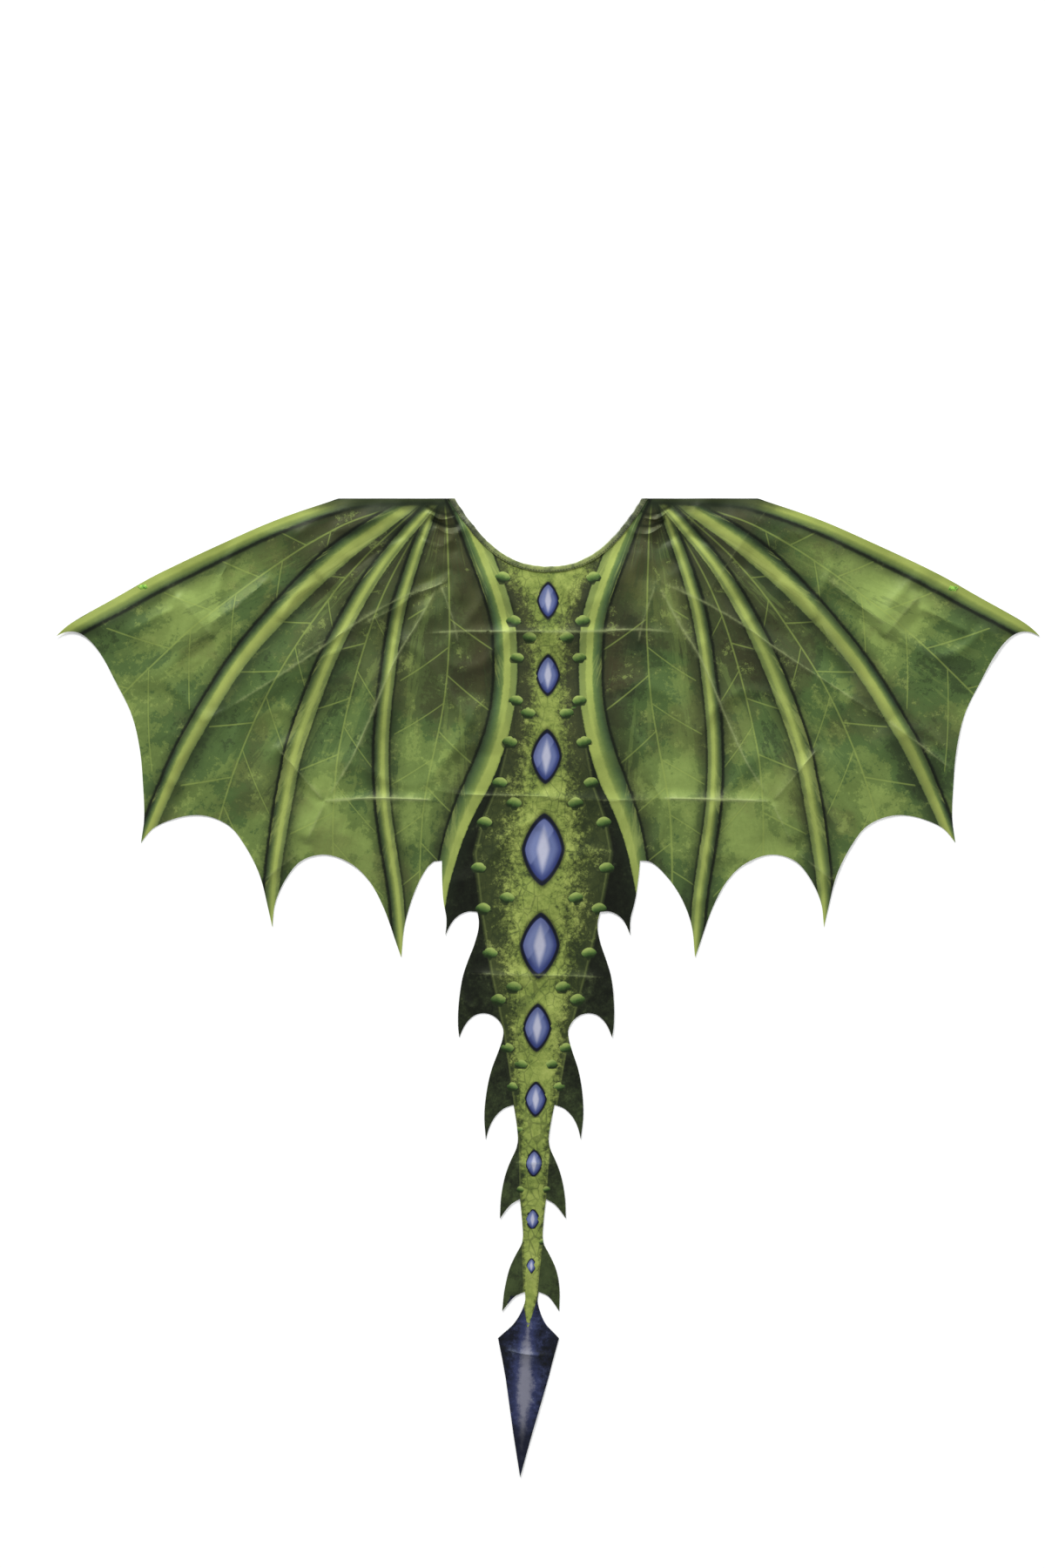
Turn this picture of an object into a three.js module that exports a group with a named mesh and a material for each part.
// A cloth dragon-wing cape, lying flat with its printed side up.
// Two membrane wings, a back and a finned tail are one cut-out piece of thin satin. The neckline
// has a turned hem, and flat elastics for the neck and the wrists lie hidden under the cloth.
// Millimetres. X runs across the span, +Y towards the neck, +Z up from the surface it lies on.
import * as THREE from "three";

// Driving sizes of the cloth
const WING_SPAN = 1017; // wing tip to wing tip
const WING_DEPTH = 474; // shoulder edge to the lowest wing point
const BACK_WIDTH = 204.5; // across the back, between the two notches where the wings end
const TAIL_LENGTH = 446; // wing notches to the stem of the arrow tip
const TAIL_WIDTH = 161; // across the widest pair of fins
const TAIL_SWAY = 29; // how far the tail tip lies to the left of the back's centre line
const ARROW_LENGTH = 191; // stem to tip
const ARROW_WIDTH = 63; // across the barbs
const NECK_WIDTH = 193.5; // the neckline at the shoulder edge
const NECK_DEPTH = 70.5; // shoulder edge to the lowest point of the neckline
const NECK_ROUNDNESS = 2.3; // exponent of the neckline's curve: 2 is a parabola, more is squarer
const CLOTH_THICKNESS = 1.2;
const HEM_WIDTH = 5.4;
const HEM_THICKNESS = 2.2; // turned cloth, doubled and pressed

// Driving sizes of the hidden elastics
const NECK_ELASTIC_WIDTH = 10;
const NECK_ELASTIC_THICKNESS = 0.9;
const NECK_ELASTIC_INSET = 3; // hem to elastic
const LOOP_LENGTH = 85; // a wrist loop pressed flat
const LOOP_WIDTH = 12;
const LOOP_BAND_THICKNESS = 0.8;
const LOOP_SLOT = 0.4; // between the two pressed layers of a wrist loop
const LOOP_INSET = 6; // the wing's upper edge to the loop's sewn end

// Clearance between touching pieces, and the spacing of the surface's points
const GAP = 0.3;
const EDGE_STEP = 9.5;
const FIELD_STEP = 20;
const FOLD_STEP = 11;
const FOLD_ROOM = 0.55 * FOLD_STEP; // how near two points beside a fold may lie
const FIELD_ROOM = 0.62 * FIELD_STEP; // how near a point of the field may lie to any other
const FRAME_SCALE = 20; // the frame triangle's size over the cloth's

// Places that follow from the driving sizes
const HALF_SPAN = WING_SPAN / 2;
const HALF_BACK = BACK_WIDTH / 2;
const SWAYED_WING = 0.12; // share of a wing's reach, beside the back, that leans with the tail
const NOTCH_DOWN = 0.789; // share of the wing depth at which the wings end at the back
const BODY_LENGTH = NOTCH_DOWN * WING_DEPTH + TAIL_LENGTH + ARROW_LENGTH;
const TOP_Y = BODY_LENGTH / 2;
const NOTCH_Y = TOP_Y - NOTCH_DOWN * WING_DEPTH;
const STEM_Y = NOTCH_Y - TAIL_LENGTH;
const CLOTH_COLOUR = 0x6f8c42;
const HEM_COLOUR = 0x4f5a34;
const ELASTIC_COLOUR = 0x1c1a1a;

// The edge of one half of the cloth, one row for each corner and the curve that leads to it.
// across and down are shares: on a wing, of the reach from the back's side to the wing tip and
// of the wing depth. The curve passes through the via points.
const WING_EDGE = [
  { to: "shoulder_end", across: 0.281, down: 0, via: [] },
  { to: "wing_tip", across: 1, down: 0.301,
    via: [[0.434, 0.045], [0.559, 0.091], [0.746, 0.167], [0.839, 0.212], [0.97, 0.277]] },
  { to: "point_1", across: 0.784, down: 0.75,
    via: [[0.983, 0.293], [0.948, 0.291], [0.916, 0.308], [0.885, 0.341], [0.849, 0.398],
      [0.808, 0.47], [0.787, 0.546], [0.779, 0.622], [0.776, 0.698]] },
  { to: "point_2", across: 0.45, down: 0.934,
    via: [[0.753, 0.719], [0.677, 0.693], [0.617, 0.692], [0.559, 0.714], [0.525, 0.749],
      [0.484, 0.816], [0.46, 0.895]] },
  { to: "point_3", across: 0.122, down: 1,
    via: [[0.443, 0.883], [0.414, 0.827], [0.375, 0.789], [0.315, 0.776], [0.249, 0.796],
      [0.203, 0.834], [0.168, 0.889], [0.133, 0.973]] },
  { to: "notch", across: 0, down: NOTCH_DOWN,
    via: [[0.113, 0.929], [0.087, 0.864], [0.056, 0.819], [0.025, 0.792]] },
];

// On the back's end, across is a share of half the back, and down of the tail length.
const HIP_EDGE = [
  { to: "hip_point", across: 0.934, down: 0.173, via: [[0.994, 0.032], [0.968, 0.093], [0.928, 0.137]] },
];

// On the tail, across is a share of half the tail width, and down of the tail length.
const FIN_EDGE = [
  { to: "fin_a_root", across: 0.788, down: 0.119, via: [[1.106, 0.142], [1.006, 0.125], [0.872, 0.117]] },
  { to: "fin_a_tip", across: 0.98, down: 0.41,
    via: [[0.76, 0.149], [0.804, 0.19], [0.872, 0.224], [0.95, 0.268], [0.997, 0.333], [0.999, 0.383]] },
  { to: "fin_b_tip", across: 0.609, down: 0.646,
    via: [[0.904, 0.379], [0.782, 0.358], [0.645, 0.354], [0.514, 0.364], [0.428, 0.385], [0.416, 0.403],
      [0.461, 0.435], [0.559, 0.486], [0.615, 0.538], [0.635, 0.591]] },
  { to: "fin_b_heel", across: 0.263, down: 0.566, via: [[0.553, 0.611], [0.43, 0.58], [0.324, 0.569]] },
  { to: "fin_c_tip", across: 0.423, down: 0.829,
    via: [[0.216, 0.613], [0.198, 0.651], [0.229, 0.673], [0.291, 0.696], [0.361, 0.732], [0.41, 0.78]] },
  { to: "fin_c_heel", across: 0.168, down: 0.784, via: [[0.353, 0.811], [0.287, 0.797]] },
  { to: "fin_d_tip", across: 0.366, down: 1.044,
    via: [[0.14, 0.831], [0.134, 0.883], [0.223, 0.915], [0.302, 0.948], [0.353, 0.994]] },
  { to: "stem", across: 0.089, down: 0.999, via: [[0.291, 1.025], [0.212, 1.009]] },
];

// On the arrow tip, across is a share of half the arrow width, and down of the arrow length.
const ARROW_EDGE = [
  { to: "barb", across: 1, down: 0.248,
    via: [[0.194, 0.033], [0.257, 0.08], [0.329, 0.113], [0.514, 0.169], [0.686, 0.198]] },
  { to: "shoulder", across: 0.829, down: 0.367, via: [] },
  { to: "arrow_end", across: 0, down: 1, via: [] },
];

// How the tail leans to the left: shares of the length below the notches, and of the sway.
const SWAY = [
  { down: -0.2, sway: 0 },
  { down: 0, sway: 0.255 },
  { down: 0.12, sway: 0.37 },
  { down: 0.29, sway: 0.446 },
  { down: 0.45, sway: 0.53 },
  { down: 0.68, sway: 0.555 },
  { down: 0.73, sway: 0.62 },
  { down: 0.775, sway: 0.7 },
  { down: 0.84, sway: 0.754 },
  { down: 0.93, sway: 0.908 },
  { down: 1, sway: 1 },
];

// Packing creases and puckers that stand up from the cloth. On the wings, across is a share of
// half the span and down of the wing depth. side is 0 for one that runs over both halves.
const WING_FOLDS = [
  { side: 0, height: 1.6, across: [-0.278, 0.278], down: [0.292, 0.292] },
  { side: 0, height: 1.5, across: [-0.458, 0.458], down: [0.656, 0.656] },
  { side: 1, height: 2.2, across: [0.232, 0.279], down: [0.209, 0.309] },
  { side: 1, height: 1.8, across: [0.279, 0.453], down: [0.309, 0.66] },
  { side: 1, height: 2, across: [0.219, 0.396], down: [0.178, 0.279] },
  { side: 1, height: 1.8, across: [0.396, 0.681], down: [0.279, 0.478] },
  { side: 1, height: 1.6, across: [0.504, 0.575], down: [0.77, 0.825] },
  { side: 1, height: 1.4, across: [0.74, 0.68], down: [0.213, 0.307] },
];
const SHOULDER_PUCKERS = [
  { side: 1, height: 2.4, across: [0.192, 0.232], down: [0.045, 0.036] },
  { side: 1, height: 2.2, across: [0.186, 0.243], down: [0.082, 0.076] },
];
// On the tail, across is a share of half the tail width, and down of the tail length.
const TAIL_FOLDS = [
  { side: 0, height: 1.4, across: [-0.9, 0.9], down: [0.268, 0.268] },
  { side: 0, height: 1.2, across: [-0.24, 0.24], down: [0.7, 0.7] },
];
const FOLD_HALF_WIDTH = 10;
const PUCKER_HALF_WIDTH = 6;
const FOLD_FADE = 1 / 6; // share of a fold's length over which it rises at each end
const RISE_WIDTH = 9; // how wide the cloth's slope is beside a hidden elastic
const PLATEAU_MARGIN = 3; // the cloth stays up this far past the elastic's edge

const LOOP_ACROSS = 0.815; // share of half the span at which a wrist loop is sewn
const LOOP_DOWN = 0.19; // share of the wing depth
const LOOP_TURN = Math.PI / 3; // how steeply a wrist loop runs down from the wing's upper edge

const mix = (a, b, t) => a + (b - a) * t;
const clamp01 = (t) => Math.min(1, Math.max(0, t));
const smooth = (t) => clamp01(t) ** 2 * (3 - 2 * clamp01(t));

// How far the cloth is shifted to the left at a height y.
function swayAt(y) {
  const down = (NOTCH_Y - y) / (TAIL_LENGTH + ARROW_LENGTH);
  const after = SWAY.findIndex((row) => row.down >= down);
  if (after === 0) return 0;
  if (after < 0) return TAIL_SWAY;
  const low = SWAY[after - 1];
  const high = SWAY[after];
  return TAIL_SWAY * mix(low.sway, high.sway, (down - low.down) / (high.down - low.down));
}

// The sway moves the back and the tail, and fades out over the inner part of each wing.
function swayed(x, y) {
  const outOnWing = (Math.abs(x) - HALF_BACK) / (SWAYED_WING * (HALF_SPAN - HALF_BACK));
  return new THREE.Vector2(x - swayAt(y) * (1 - smooth(outOnWing)), y);
}

const wingPlace = (across, down) => [mix(HALF_BACK, HALF_SPAN, across), TOP_Y - down * WING_DEPTH];
const hipPlace = (across, down) => [across * HALF_BACK, NOTCH_Y - down * TAIL_LENGTH];
const finPlace = (across, down) => [(across * TAIL_WIDTH) / 2, NOTCH_Y - down * TAIL_LENGTH];
const arrowPlace = (across, down) => [(across * ARROW_WIDTH) / 2, STEM_Y - down * ARROW_LENGTH];

// A curve that runs at a distance inside the neckline, from the left end to the right one, cut
// off at the shoulder edge.
function neckCurve(inset) {
  const at = (u) => {
    const slope = (NECK_DEPTH * NECK_ROUNDNESS * Math.sign(u) * Math.abs(u) ** (NECK_ROUNDNESS - 1)) /
      (NECK_WIDTH / 2);
    const reach = inset / Math.hypot(1, slope);
    const y = TOP_Y - NECK_DEPTH * (1 - Math.abs(u) ** NECK_ROUNDNESS);
    return new THREE.Vector2((u * NECK_WIDTH) / 2 + slope * reach, y - reach);
  };
  let inside = 0;
  let outside = 2;
  for (let i = 0; i < 40; i++) {
    const middle = (inside + outside) / 2;
    if (at(middle).y < TOP_Y) inside = middle;
    else outside = middle;
  }
  const steps = Math.round((NECK_WIDTH + NECK_DEPTH) / EDGE_STEP);
  const points = [];
  for (let i = 0; i <= steps; i++) points.push(at(mix(-inside, inside, i / steps)));
  points[0].y = TOP_Y;
  points[steps].y = TOP_Y;
  return points;
}

// The points of one half's edge, from the neck's corner along the shoulder and down to the tip.
function halfEdge(neckCorner) {
  let from = new THREE.Vector3(neckCorner.x, neckCorner.y, 0);
  const points = [];
  const follow = (rows, place) => {
    for (const { across, down, via } of rows) {
      const stops = [...via, [across, down]].map(([a, d]) => new THREE.Vector3(...place(a, d), 0));
      const curve = new THREE.CatmullRomCurve3([from, ...stops], false, "centripetal");
      const steps = Math.max(2, Math.round(curve.getLength() / EDGE_STEP));
      points.push(...curve.getSpacedPoints(steps).slice(1));
      from = stops.at(-1);
    }
  };
  follow(WING_EDGE, wingPlace);
  follow(HIP_EDGE, hipPlace);
  follow(FIN_EDGE, finPlace);
  follow(ARROW_EDGE, arrowPlace);
  return points;
}

// The whole edge of the cloth, anticlockwise from above, starting at the neck's left corner.
function clothEdge() {
  const neck = neckCurve(HEM_WIDTH + GAP);
  const half = halfEdge(neck.at(-1));
  const left = half.map((p) => swayed(-p.x, p.y));
  const right = half.slice(0, -1).map((p) => swayed(p.x, p.y));
  return [...left, ...right.reverse(), ...neck.reverse()];
}

// Turns a row of a fold table into one fold for each side that it stands for.
function foldsOf(rows, halfWidth, place) {
  return rows.flatMap(({ side, height, across, down }) =>
    (side === 0 ? [1] : [1, -1]).map((mirror) => {
      const ends = [0, 1].map((i) => {
        const [x, y] = place(across[i], down[i]);
        return swayed(mirror * x, y);
      });
      return { from: ends[0], to: ends[1], height, halfWidth };
    }),
  );
}

const halfPlace = (across, down) => [across * HALF_SPAN, TOP_Y - down * WING_DEPTH];
const FOLDS = [
  ...foldsOf(WING_FOLDS, FOLD_HALF_WIDTH, halfPlace),
  ...foldsOf(SHOULDER_PUCKERS, PUCKER_HALF_WIDTH, halfPlace),
  ...foldsOf(TAIL_FOLDS, FOLD_HALF_WIDTH, finPlace),
];

// Where each wrist loop lies: its sewn end, and the direction in which it runs down the wing.
const LOOPS = [1, -1].map((side) => {
  const direction = new THREE.Vector2(-side * Math.cos(LOOP_TURN), -Math.sin(LOOP_TURN));
  const [x, y] = halfPlace(LOOP_ACROSS, LOOP_DOWN);
  const start = new THREE.Vector2(side * x, y).addScaledVector(direction, LOOP_INSET);
  return { side, direction, start, end: start.clone().addScaledVector(direction, LOOP_LENGTH) };
});
const LOOP_HEIGHT = 2 * LOOP_BAND_THICKNESS + LOOP_SLOT;

const NECK_ELASTIC_MIDDLE = HEM_WIDTH + GAP + NECK_ELASTIC_INSET + NECK_ELASTIC_WIDTH / 2;
const NECK_ELASTIC_LINE = neckCurve(NECK_ELASTIC_MIDDLE);

// The nearest place on a straight stretch: how far off the point is, and how far along.
function besideStretch(point, from, to) {
  const along = to.clone().sub(from);
  const share = clamp01(point.clone().sub(from).dot(along) / along.lengthSq());
  return { off: point.distanceTo(from.clone().addScaledVector(along, share)), share };
}

// How high the underside of the cloth lies above the surface at a point.
function liftAt(point) {
  let lift = 0;
  for (const { from, to, height, halfWidth } of FOLDS) {
    const { off, share } = besideStretch(point, from, to);
    const fade = smooth(Math.min(share, 1 - share) / FOLD_FADE);
    lift = Math.max(lift, height * fade * clamp01(1 - off / halfWidth));
  }
  const neckHold = NECK_ELASTIC_WIDTH / 2 + PLATEAU_MARGIN;
  const neckOff = Math.min(
    ...NECK_ELASTIC_LINE.slice(1).map((to, i) => besideStretch(point, NECK_ELASTIC_LINE[i], to).off),
  );
  const loopHold = LOOP_WIDTH / 2 + PLATEAU_MARGIN;
  const over = (off, hold, height) => (height + GAP) * (1 - smooth((off - hold) / RISE_WIDTH));
  lift = Math.max(lift, over(neckOff, neckHold, NECK_ELASTIC_THICKNESS));
  for (const { start, end } of LOOPS) {
    lift = Math.max(lift, over(besideStretch(point, start, end).off, loopHold, LOOP_HEIGHT));
  }
  return lift;
}

// Points in rows beside a line, so that the mesh has an edge along each fold.
function rowsAlong(from, to, offsets) {
  const along = to.clone().sub(from);
  const steps = Math.max(1, Math.round(along.length() / FOLD_STEP));
  const across = new THREE.Vector2(-along.y, along.x).normalize();
  const points = [];
  for (let i = 0; i <= steps; i++) {
    for (const offset of offsets) {
      points.push(from.clone().addScaledVector(along, i / steps).addScaledVector(across, offset));
    }
  }
  return points;
}

function foldPoints() {
  const neckHold = NECK_ELASTIC_WIDTH / 2 + PLATEAU_MARGIN;
  const loopHold = LOOP_WIDTH / 2 + PLATEAU_MARGIN;
  const overRun = PLATEAU_MARGIN;
  return [
    ...[neckHold, neckHold + RISE_WIDTH].flatMap((off) => neckCurve(NECK_ELASTIC_MIDDLE + off).slice(1, -1)),
    ...LOOPS.flatMap(({ start, end, direction }) =>
      rowsAlong(
        start.clone().addScaledVector(direction, -overRun),
        end.clone().addScaledVector(direction, overRun),
        [-loopHold - RISE_WIDTH, -loopHold, 0, loopHold, loopHold + RISE_WIDTH],
      )),
    ...FOLDS.flatMap(({ from, to, halfWidth }) => rowsAlong(from, to, [-halfWidth, 0, halfWidth])),
  ];
}

function isInside(point, outline) {
  let inside = false;
  outline.forEach((a, i) => {
    const b = outline[(i + 1) % outline.length];
    if (a.y > point.y !== b.y > point.y) {
      if (point.x < mix(a.x, b.x, (point.y - a.y) / (b.y - a.y))) inside = !inside;
    }
  });
  return inside;
}

// Keeps the points that lie inside the outline, clear of its edge and of each other.
function clearPoints(candidates, outline) {
  const kept = [];
  for (const { point, room } of candidates) {
    const near = (other) => point.distanceTo(other) < room;
    if (!outline.some(near) && !kept.some(near) && isInside(point, outline)) kept.push(point);
  }
  return kept;
}

// The points of a field of equal triangles over the whole cloth.
function fieldPoints() {
  const rowStep = (FIELD_STEP * Math.sqrt(3)) / 2;
  const points = [];
  for (let row = 0; row * rowStep < BODY_LENGTH; row++) {
    const shift = (row % 2) * (FIELD_STEP / 2);
    for (let x = -HALF_SPAN + shift; x < HALF_SPAN; x += FIELD_STEP) {
      points.push(new THREE.Vector2(x, TOP_Y - row * rowStep));
    }
  }
  return points;
}

// A triangle of point numbers with its circumscribed circle.
function withCircle(points, corners) {
  const [a, b, c] = corners.map((i) => points[i]);
  const bx = b.x - a.x;
  const by = b.y - a.y;
  const cx = c.x - a.x;
  const cy = c.y - a.y;
  const twiceArea = 2 * (bx * cy - by * cx);
  const x = (cy * (bx * bx + by * by) - by * (cx * cx + cy * cy)) / twiceArea;
  const y = (bx * (cx * cx + cy * cy) - cx * (bx * bx + by * by)) / twiceArea;
  return { corners, x: a.x + x, y: a.y + y, radiusSquared: x * x + y * y };
}

// Delaunay triangles: each new point replaces the triangles whose circles hold it.
function delaunay(points) {
  const far = FRAME_SCALE * (WING_SPAN + BODY_LENGTH);
  const frame = [new THREE.Vector2(-far, -far), new THREE.Vector2(far, -far), new THREE.Vector2(0, far)];
  const all = [...points, ...frame];
  const count = points.length;
  let triangles = [withCircle(all, [count, count + 1, count + 2])];
  for (let i = 0; i < count; i++) {
    const { x, y } = all[i];
    const kept = [];
    const rim = new Map();
    for (const triangle of triangles) {
      if ((x - triangle.x) ** 2 + (y - triangle.y) ** 2 >= triangle.radiusSquared) {
        kept.push(triangle);
        continue;
      }
      triangle.corners.forEach((a, k) => {
        const b = triangle.corners[(k + 1) % 3];
        if (!rim.delete(`${b},${a}`)) rim.set(`${a},${b}`, [a, b, i]);
      });
    }
    triangles = [...kept, ...[...rim.values()].map((corners) => withCircle(all, corners))];
  }
  return triangles.map((t) => t.corners).filter((corners) => corners.every((i) => i < count));
}

// Triangles that fill the outline. An edge of the outline that they miss is halved, and the
// triangles are made again, until every edge of the outline is an edge of a triangle.
function fillOutline(outline, inner) {
  const points = [...outline, ...inner];
  const corners = delaunay(points);
  const edges = new Set();
  for (const triangle of corners) {
    triangle.forEach((a, k) => edges.add(`${a},${triangle[(k + 1) % 3]}`));
  }
  const count = outline.length;
  const isMissing = (i) => !edges.has(`${i},${(i + 1) % count}`) && !edges.has(`${(i + 1) % count},${i}`);
  const missing = new Set([...outline.keys()].filter(isMissing));
  if (missing.size > 0) {
    const halved = outline.flatMap((p, i) =>
      missing.has(i) ? [p, p.clone().lerp(outline[(i + 1) % count], 0.5)] : [p],
    );
    return fillOutline(halved, inner);
  }
  const middle = ([a, b, c]) => points[a].clone().add(points[b]).add(points[c]).divideScalar(3);
  return { outline, points, corners: corners.filter((t) => isInside(middle(t), outline)) };
}

// A closed body from a flat list of triangles, each of three points.
function bodyOf(triangles) {
  const geometry = new THREE.BufferGeometry();
  geometry.setFromPoints(triangles.flat());
  geometry.computeVertexNormals();
  return geometry;
}

// The cloth: a wall of one thickness over the outline, raised over folds and elastics.
function panelGeometry() {
  const edge = clothEdge();
  const candidates = [
    ...foldPoints().map((point) => ({ point, room: FOLD_ROOM })),
    ...fieldPoints().map((point) => ({ point, room: FIELD_ROOM })),
  ];
  const { outline, points, corners } = fillOutline(edge, clearPoints(candidates, edge));
  const under = points.map((p) => new THREE.Vector3(p.x, p.y, liftAt(p)));
  const over = under.map((p) => p.clone().setZ(p.z + CLOTH_THICKNESS));
  const turned = ([a, b, c]) => {
    const area = points[b].clone().sub(points[a]).cross(points[c].clone().sub(points[a]));
    return area > 0 ? [a, b, c] : [a, c, b];
  };
  const faces = corners.map(turned).flatMap(([a, b, c]) => [
    [over[a], over[b], over[c]],
    [under[a], under[c], under[b]],
  ]);
  const rim = outline.flatMap((_, i) => {
    const next = (i + 1) % outline.length;
    return [
      [under[i], under[next], over[next]],
      [under[i], over[next], over[i]],
    ];
  });
  return bodyOf([...faces, ...rim]);
}

// A strip that follows the neckline. Each rail is one corner of its section: an inset and a height.
function neckStripGeometry(rails) {
  const lines = rails.map(({ inset, z }) => neckCurve(inset).map((p) => new THREE.Vector3(p.x, p.y, z)));
  const triangles = [];
  const last = lines[0].length - 1;
  lines.forEach((line, k) => {
    const next = lines[(k + 1) % lines.length];
    for (let i = 0; i < last; i++) {
      triangles.push([line[i], next[i], next[i + 1]], [line[i], next[i + 1], line[i + 1]]);
    }
    if (k > 0 && k < lines.length - 1) {
      triangles.push([lines[0][0], next[0], line[0]], [lines[0][last], line[last], next[last]]);
    }
  });
  return bodyOf(triangles);
}

function hemGeometry() {
  const corner = HEM_THICKNESS / 3; // how far its long edges are rounded off
  return neckStripGeometry([
    { inset: 0, z: corner },
    { inset: 0, z: HEM_THICKNESS - corner },
    { inset: corner, z: HEM_THICKNESS },
    { inset: HEM_WIDTH - corner, z: HEM_THICKNESS },
    { inset: HEM_WIDTH, z: HEM_THICKNESS - corner },
    { inset: HEM_WIDTH, z: 0 },
    { inset: corner, z: 0 },
  ]);
}

function neckElasticGeometry() {
  const inner = NECK_ELASTIC_MIDDLE - NECK_ELASTIC_WIDTH / 2;
  const outer = NECK_ELASTIC_MIDDLE + NECK_ELASTIC_WIDTH / 2;
  return neckStripGeometry([
    { inset: inner, z: 0 },
    { inset: inner, z: NECK_ELASTIC_THICKNESS },
    { inset: outer, z: NECK_ELASTIC_THICKNESS },
    { inset: outer, z: 0 },
  ]);
}

// A band with round ends, seen from its edge: length along x, height along y.
function roundEnded(path, length, height) {
  const radius = height / 2;
  path.absarc(length - radius, radius, radius, -Math.PI / 2, Math.PI / 2);
  path.absarc(radius, radius, radius, Math.PI / 2, (3 * Math.PI) / 2);
  return path;
}

// An elastic loop pressed flat, its sewn end at the origin, its length along x, its band across y.
function wristLoopGeometry() {
  const shape = roundEnded(new THREE.Shape(), LOOP_LENGTH, LOOP_HEIGHT);
  const slotLength = LOOP_LENGTH - 2 * LOOP_BAND_THICKNESS;
  const slot = roundEnded(new THREE.Path(), slotLength, LOOP_SLOT).getPoints(3);
  const moved = slot.map((p) => new THREE.Vector2(p.x + LOOP_BAND_THICKNESS, p.y + LOOP_BAND_THICKNESS));
  shape.holes.push(new THREE.Path(moved));
  const options = { depth: LOOP_WIDTH, bevelEnabled: false, curveSegments: 4 };
  const geometry = new THREE.ExtrudeGeometry(shape, options);
  return geometry.rotateX(Math.PI / 2).translate(0, LOOP_WIDTH / 2, 0);
}

function named(name, geometry, color, roughness) {
  const mesh = new THREE.Mesh(geometry, new THREE.MeshStandardMaterial({ color, roughness, metalness: 0 }));
  mesh.name = name;
  return mesh;
}

const cape = new THREE.Group();
cape.add(named("cape_panel", panelGeometry(), CLOTH_COLOUR, 0.45));
cape.add(named("neck_hem", hemGeometry(), HEM_COLOUR, 0.55));
cape.add(named("neck_elastic", neckElasticGeometry(), ELASTIC_COLOUR, 0.85));
for (const { side, start, direction } of LOOPS) {
  const holder = new THREE.Group();
  holder.position.set(start.x, start.y, 0);
  holder.rotation.z = direction.angle();
  const name = side < 0 ? "left_wrist_loop" : "right_wrist_loop";
  holder.add(named(name, wristLoopGeometry(), ELASTIC_COLOUR, 0.85));
  cape.add(holder);
}

export default cape;
